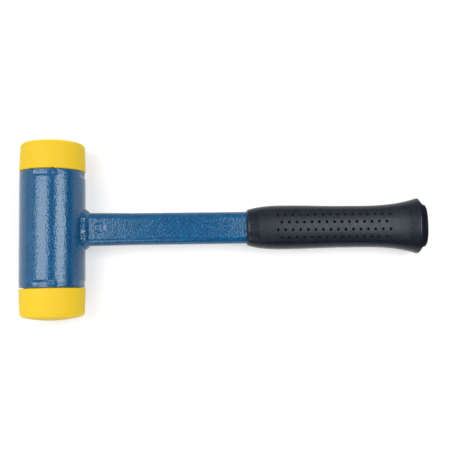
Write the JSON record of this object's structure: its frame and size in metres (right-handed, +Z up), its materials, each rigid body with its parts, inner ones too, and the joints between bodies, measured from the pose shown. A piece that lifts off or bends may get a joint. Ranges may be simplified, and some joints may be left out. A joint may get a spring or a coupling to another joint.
{
  "type": "dead blow hammer",
  "caption": "Dead blow hammer: tubular steel head holding loose shot between crimped soft striking faces, welded tubular shank, soft dimpled grip and plugged butt.",
  "frame": {"origin": "middle of the underside of the hammer's box, as it lies on its side, level with the lowest point of the head", "axes": "+X along the handle towards the butt, +Y along the head's axis, +Z up, square to the shank's flat"},
  "size_m": [0.3152, 0.1384, 0.0506],
  "materials": {
    "blue_paint": "glossy hammered paint over steel",
    "yellow_polyurethane": "satin moulded polyurethane",
    "black_grip": "matte soft grip with dimples",
    "black_plug": "satin moulded plastic",
    "steel_shot": "bright steel balls"
  },
  "bodies": {
    "hammer": {"head_tube": "blue_paint", "striking_face_a": "yellow_polyurethane", "striking_face_b": "yellow_polyurethane", "handle_tube": "blue_paint", "handle_weld": "blue_paint", "grip_sleeve": "black_grip", "grip_end_plug": "black_plug"},
    "shot_charge": {"shot_ball_01": "steel_shot", "shot_ball_02": "steel_shot", "shot_ball_03": "steel_shot", "shot_ball_04": "steel_shot", "shot_ball_05": "steel_shot", "shot_ball_06": "steel_shot", "shot_ball_07": "steel_shot", "shot_ball_08": "steel_shot", "shot_ball_09": "steel_shot", "shot_ball_10": "steel_shot", "shot_ball_11": "steel_shot", "shot_ball_12": "steel_shot", "shot_ball_13": "steel_shot", "shot_ball_14": "steel_shot", "shot_ball_15": "steel_shot", "shot_ball_16": "steel_shot", "shot_ball_17": "steel_shot", "shot_ball_18": "steel_shot", "shot_ball_19": "steel_shot", "shot_ball_20": "steel_shot", "shot_ball_21": "steel_shot", "shot_ball_22": "steel_shot", "shot_ball_23": "steel_shot", "shot_ball_24": "steel_shot", "shot_ball_25": "steel_shot", "shot_ball_26": "steel_shot", "shot_ball_27": "steel_shot", "shot_ball_28": "steel_shot", "shot_ball_29": "steel_shot", "shot_ball_30": "steel_shot", "shot_ball_31": "steel_shot", "shot_ball_32": "steel_shot", "shot_ball_33": "steel_shot", "shot_ball_34": "steel_shot", "shot_ball_35": "steel_shot", "shot_ball_36": "steel_shot", "shot_ball_37": "steel_shot", "shot_ball_38": "steel_shot", "shot_ball_39": "steel_shot", "shot_ball_40": "steel_shot", "shot_ball_41": "steel_shot", "shot_ball_42": "steel_shot", "shot_ball_43": "steel_shot", "shot_ball_44": "steel_shot", "shot_ball_45": "steel_shot"}
  },
  "joints": [
    {"name": "shot_slide", "type": "slide", "parent": "hammer", "child": "shot_charge", "axis": [0, 1, 0], "range_m": [-0.0066, 0.0066]}
  ]
}
